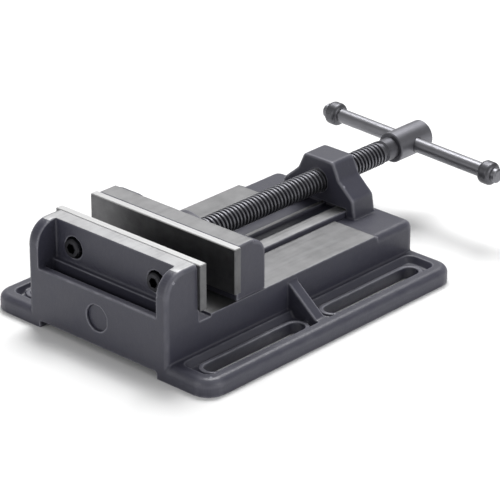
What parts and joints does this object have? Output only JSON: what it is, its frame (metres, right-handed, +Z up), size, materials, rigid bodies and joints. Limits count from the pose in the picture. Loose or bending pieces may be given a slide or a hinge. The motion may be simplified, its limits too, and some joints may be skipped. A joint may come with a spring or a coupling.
{
  "type": "drill-press vise",
  "caption": "Low-profile machine vise with a fixed jaw cast into its slotted base, a movable jaw on a lead screw and a sliding bar handle.",
  "frame": {"origin": "middle of the underside of the base, on the table", "axes": "+Z up from the table, +Y along the lead screw from the fixed jaw towards the handle, +X across the jaws"},
  "size_m": [0.152, 0.247, 0.056],
  "materials": {
    "casting_paint": "satin",
    "jaw_steel": "blackened, top edge ground",
    "screw_steel": "blackened",
    "bar_steel": "blackened",
    "fastener_steel": "black oxide",
    "plain_steel": "plain"
  },
  "bodies": {
    "base": {"base_casting": "casting_paint", "front_plug": "casting_paint", "fixed_jaw_plate": "jaw_steel", "fixed_plate_screw_left": "fastener_steel", "fixed_plate_screw_right": "fastener_steel"},
    "slide": {"movable_jaw": "casting_paint", "movable_jaw_plate": "jaw_steel", "movable_plate_screw_left": "fastener_steel", "movable_plate_screw_right": "fastener_steel", "keeper_plate": "plain_steel", "keeper_screw_front": "plain_steel", "keeper_screw_rear": "plain_steel", "lock_washer_front": "plain_steel", "lock_washer_rear": "plain_steel", "thrust_washer": "plain_steel", "retaining_pin_lower": "plain_steel", "retaining_pin_upper": "plain_steel"},
    "screw": {"lead_screw": "screw_steel"},
    "handle": {"handle_bar": "bar_steel", "handle_knob_left": "bar_steel", "handle_knob_right": "bar_steel"}
  },
  "joints": [
    {"name": "jaw_slide", "type": "slide", "parent": "base", "child": "slide", "axis": [0, 1, 0], "range_m": [-0.0197, 0.0803]},
    {"name": "screw_turn", "type": "hinge", "parent": "slide", "child": "screw", "pos_m": [0, 0.1416, 0.0407], "axis": [0, 1, 0], "range_deg": [-2793, 11382]},
    {"name": "handle_slide", "type": "slide", "parent": "screw", "child": "handle", "axis": [0.9995, 0, -0.0332], "range_m": [-0.0438, 0.0378]}
  ],
  "couplings": [
    {"joint": "screw_turn", "follows": "jaw_slide", "rad_per_m": 2473.7}
  ]
}
